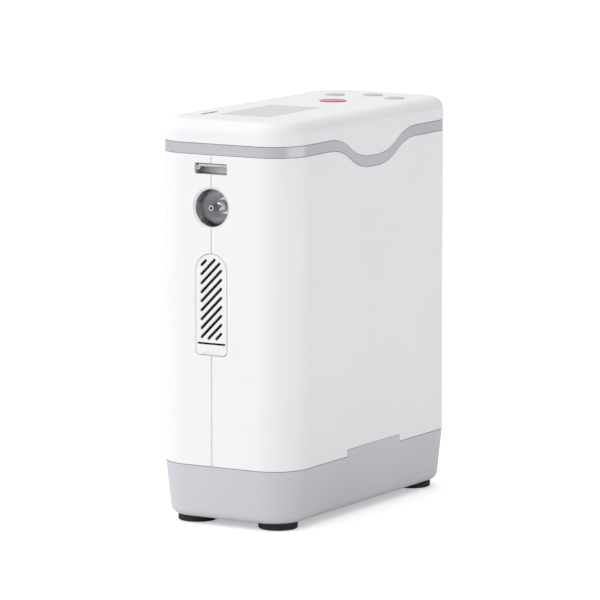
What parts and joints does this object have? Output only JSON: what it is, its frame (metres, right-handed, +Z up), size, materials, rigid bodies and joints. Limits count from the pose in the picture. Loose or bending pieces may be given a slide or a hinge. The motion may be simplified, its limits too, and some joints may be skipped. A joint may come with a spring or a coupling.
{
  "type": "oxygen concentrator",
  "caption": "Upright home oxygen concentrator with a grey base tray, wavy trim band, top control panel, recessed hose outlet and pull-out intake filter.",
  "frame": {"origin": "on the floor under the middle of the cabinet, at the bottom of the feet", "axes": "+Z up; -Y out of the narrow front face with the hose outlet; +X towards the broad right side"},
  "size_m": [0.152, 0.328, 0.3923],
  "materials": {
    "shell_white": "gloss",
    "tray_grey": "satin",
    "band_grey": "satin",
    "foot_rubber": "matte",
    "power_red": "gloss",
    "key_grey": "gloss",
    "window_grey": "gloss",
    "strip_dark": "gloss",
    "polished_metal": "polished",
    "nozzle_metal": "polished",
    "bracket_metal": "brushed",
    "foam_dark": "matte",
    "inlet_black": "matte",
    "pin_brass": "polished",
    "board_green": "satin",
    "silicone": "matte",
    "display_black": "satin",
    "cast_alloy": "cast",
    "steel": "brushed",
    "iron_core": "matte",
    "black_plastic": "matte",
    "seal_rubber": "matte",
    "copper_tube": "polished",
    "hose_clear": "matte",
    "screw_steel": "plated"
  },
  "bodies": {
    "cabinet": {"base_tray": "tray_grey", "feet": "foot_rubber", "case_screws": "screw_steel", "left_shell": "shell_white", "right_shell": "shell_white", "trim_band": "band_grey", "top_cover": "shell_white", "display_window": "window_grey", "display_module": "display_black", "status_strip": "strip_dark", "power_button_dome": "silicone", "key_left_dome": "silicone", "key_middle_dome": "silicone", "key_right_dome": "silicone", "control_board": "board_green", "small_screws": "screw_steel", "hanger_bracket": "bracket_metal", "hanger_bar": "bracket_metal", "outlet_cup": "polished_metal", "outlet_nozzle": "nozzle_metal", "outlet_nut": "nozzle_metal", "outlet_seal": "seal_rubber", "filter_seat": "black_plastic", "mains_inlet": "inlet_black", "inlet_pins": "pin_brass", "rear_vent": "tray_grey", "chassis_plate": "steel", "isolators": "seal_rubber", "compressor_mount": "steel", "motor_stator": "iron_core", "crankcases": "cast_alloy", "crankcase_covers": "cast_alloy", "cylinders": "cast_alloy", "cylinder_heads": "cast_alloy", "bearings": "steel", "head_pipe": "copper_tube", "cooling_coil": "copper_tube", "fan_frame": "black_plastic", "shelf": "steel", "sieve_beds": "cast_alloy", "valve_manifold": "cast_alloy", "solenoid_coils": "black_plastic", "oxygen_tank": "cast_alloy", "power_supply": "board_green", "filter_canisters": "black_plastic", "oxygen_sensor": "black_plastic", "hoses": "hose_clear"},
    "power_button": {"power_button": "power_red"},
    "key_left": {"key_left": "key_grey"},
    "key_middle": {"key_middle": "key_grey"},
    "key_right": {"key_right": "key_grey"},
    "filter_door": {"filter_cover": "shell_white", "intake_filter": "foam_dark"},
    "fan_rotor": {"fan_rotor": "black_plastic"},
    "crank": {"motor_rotor": "steel", "eccentrics": "steel"},
    "rod_front": {"piston_rod_front": "cast_alloy"},
    "rod_rear": {"piston_rod_rear": "cast_alloy"},
    "plunger_left": {"valve_plunger_left": "steel"},
    "plunger_right": {"valve_plunger_right": "steel"}
  },
  "joints": [
    {"name": "power_button_press", "type": "slide", "parent": "cabinet", "child": "power_button", "axis": [0, 0, -1], "range_m": [0, 0.0012], "stiffness_N_per_m": 2000, "deforming": ["power_button_dome"]},
    {"name": "key_left_press", "type": "slide", "parent": "cabinet", "child": "key_left", "axis": [0, 0, -1], "range_m": [0, 0.0012], "stiffness_N_per_m": 2000, "deforming": ["key_left_dome"]},
    {"name": "key_middle_press", "type": "slide", "parent": "cabinet", "child": "key_middle", "axis": [0, 0, -1], "range_m": [0, 0.0012], "stiffness_N_per_m": 2000, "deforming": ["key_middle_dome"]},
    {"name": "key_right_press", "type": "slide", "parent": "cabinet", "child": "key_right", "axis": [0, 0, -1], "range_m": [0, 0.0012], "stiffness_N_per_m": 2000, "deforming": ["key_right_dome"]},
    {"name": "filter_pull", "type": "slide", "parent": "cabinet", "child": "filter_door", "axis": [0, -1, 0], "range_m": [0, 0.045]},
    {"name": "fan_spin", "type": "hinge", "parent": "cabinet", "child": "fan_rotor", "pos_m": [0, -0.03225, 0.22], "axis": [0, 0, 1], "continuous": true},
    {"name": "crank_spin", "type": "hinge", "parent": "cabinet", "child": "crank", "pos_m": [0, -0.03225, 0.081], "axis": [0, 1, 0], "continuous": true},
    {"name": "rod_front_pin", "type": "hinge", "parent": "crank", "child": "rod_front", "pos_m": [0, -0.08125, 0.0845], "axis": [0, 1, 0], "continuous": true},
    {"name": "rod_rear_pin", "type": "hinge", "parent": "crank", "child": "rod_rear", "pos_m": [0, 0.01675, 0.0775], "axis": [0, 1, 0], "continuous": true},
    {"name": "valve_left_lift", "type": "slide", "parent": "cabinet", "child": "plunger_left", "axis": [0, 0, 1], "range_m": [0, 0.0015], "stiffness_N_per_m": 400},
    {"name": "valve_right_lift", "type": "slide", "parent": "cabinet", "child": "plunger_right", "axis": [0, 0, 1], "range_m": [0, 0.0015], "stiffness_N_per_m": 400}
  ],
  "couplings": [
    {"joint": "rod_front_pin", "follows": "crank_spin", "ratio": -1},
    {"joint": "rod_rear_pin", "follows": "crank_spin", "ratio": -1}
  ]
}
